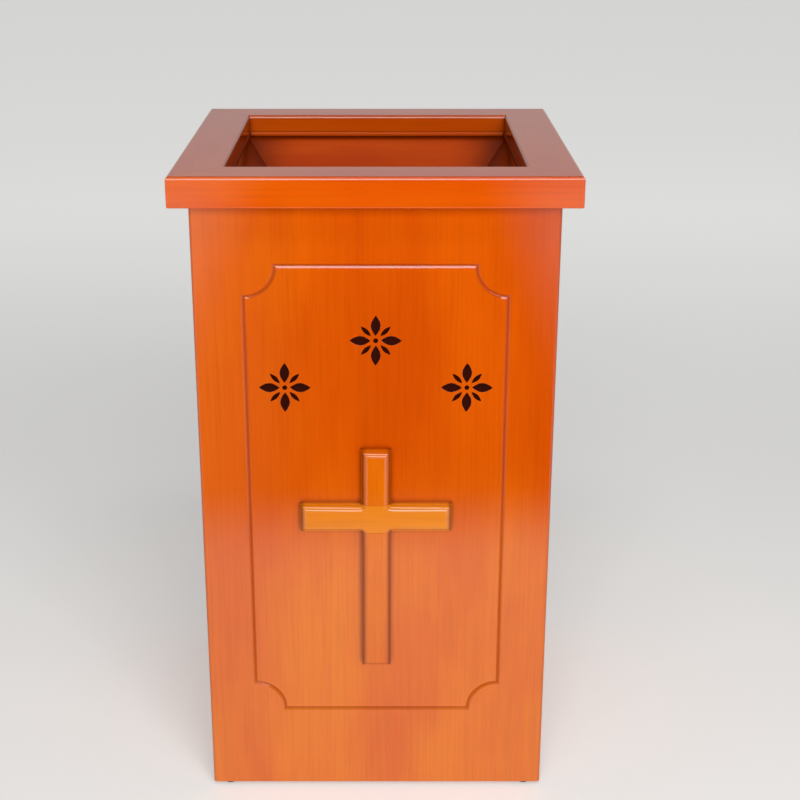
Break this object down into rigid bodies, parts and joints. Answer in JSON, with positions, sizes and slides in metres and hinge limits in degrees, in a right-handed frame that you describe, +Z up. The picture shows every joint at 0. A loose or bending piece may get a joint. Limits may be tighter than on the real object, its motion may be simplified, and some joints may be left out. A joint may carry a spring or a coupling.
{
  "type": "donation box",
  "caption": "Square wooden church offering box with a mitred rim, a sloping hopper to a money slot, a front cross and a locking rear door.",
  "frame": {"origin": "on the floor under the middle of the box, at the centre of the underside of its four feet", "axes": "+Z up, -Y out of the front face that carries the cross, +X to the right of someone facing the front"},
  "size_m": [0.35, 0.35, 0.604],
  "materials": {
    "body_wood": "semi-gloss lacquer over a reddish orange stain, fine vertical grain",
    "rim_wood": "semi-gloss lacquer over a reddish orange stain, grain along each board",
    "hopper_wood": "semi-gloss lacquer over a deep reddish stain",
    "cross_wood": "semi-gloss lacquer over an orange stain",
    "inner_wood": "bare planed softwood",
    "foot_plastic": "matt",
    "screw_steel": "zinc plated",
    "hinge_brass": "satin",
    "lock_steel": "polished"
  },
  "bodies": {
    "box": {"back_panel": "body_wood", "bead_back": "rim_wood", "bead_front": "rim_wood", "bead_left": "rim_wood", "bead_right": "rim_wood", "bottom_board": "inner_wood", "corner_post_back_left": "inner_wood", "corner_post_back_right": "inner_wood", "corner_post_front_left": "inner_wood", "corner_post_front_right": "inner_wood", "cross_bar": "cross_wood", "cross_upright": "cross_wood", "door_stop_lower": "inner_wood", "door_stop_upper": "inner_wood", "foot_back_left": "foot_plastic", "foot_back_right": "foot_plastic", "foot_front_left": "foot_plastic", "foot_front_right": "foot_plastic", "foot_screw_back_left": "screw_steel", "foot_screw_back_right": "screw_steel", "foot_screw_front_left": "screw_steel", "foot_screw_front_right": "screw_steel", "front_panel": "body_wood", "hinge_lower_box_leaf": "hinge_brass", "hinge_lower_box_screw_bottom": "hinge_brass", "hinge_lower_box_screw_top": "hinge_brass", "hinge_lower_pin": "hinge_brass", "hinge_upper_box_leaf": "hinge_brass", "hinge_upper_box_screw_bottom": "hinge_brass", "hinge_upper_box_screw_top": "hinge_brass", "hinge_upper_pin": "hinge_brass", "hopper_back": "hopper_wood", "hopper_front": "hopper_wood", "hopper_left": "hopper_wood", "hopper_right": "hopper_wood", "left_panel": "body_wood", "right_panel": "body_wood", "rim_back": "rim_wood", "rim_cleat_back": "inner_wood", "rim_cleat_front": "inner_wood", "rim_cleat_left": "inner_wood", "rim_cleat_right": "inner_wood", "rim_front": "rim_wood", "rim_left": "rim_wood", "rim_right": "rim_wood"},
    "door": {"hinge_lower_door_leaf": "hinge_brass", "hinge_lower_door_screw_bottom": "hinge_brass", "hinge_lower_door_screw_top": "hinge_brass", "hinge_upper_door_leaf": "hinge_brass", "hinge_upper_door_screw_bottom": "hinge_brass", "hinge_upper_door_screw_top": "hinge_brass", "lock_barrel": "lock_steel", "lock_nut": "lock_steel", "rear_door": "body_wood"},
    "lock_plug": {"lock_plug": "lock_steel", "lock_cam": "lock_steel", "lock_cam_screw": "lock_steel"}
  },
  "joints": [
    {"name": "rear_door_hinge", "type": "hinge", "parent": "box", "child": "door", "pos_m": [-0.10425, 0.162, 0.21], "axis": [0, 0, 1], "range_deg": [0, 170]},
    {"name": "lock_turn", "type": "hinge", "parent": "door", "child": "lock_plug", "pos_m": [0.082, 0.159, 0.21], "axis": [0, -1, 0], "range_deg": [0, 90]}
  ]
}
